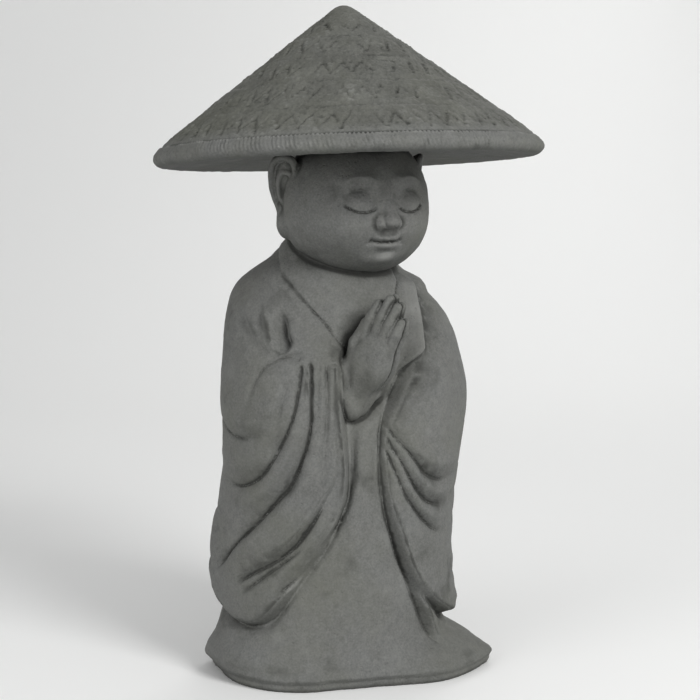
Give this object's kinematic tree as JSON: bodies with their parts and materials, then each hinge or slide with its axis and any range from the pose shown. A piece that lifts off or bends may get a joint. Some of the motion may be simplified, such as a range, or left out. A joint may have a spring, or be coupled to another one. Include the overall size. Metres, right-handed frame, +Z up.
{
  "type": "stone jizo statue",
  "caption": "Cast-stone garden statue of a small praying monk in a long robe with hanging sleeves and a wide conical straw hat.",
  "frame": {"origin": "centre of the bounding box on the ground, under the hat's axis", "axes": "+Z up through the point of the hat, -Y the way the figure faces, +X the figure's left"},
  "size_m": [0.2602, 0.2598, 0.45],
  "materials": {
    "cast_stone": "matt dark slate-grey cast stone with a faint olive tint, fine sandy grain, mottled, paler on raised edges and darker in the folds"
  },
  "bodies": {
    "root": {"jizo_statue": "cast_stone"}
  },
  "joints": []
}
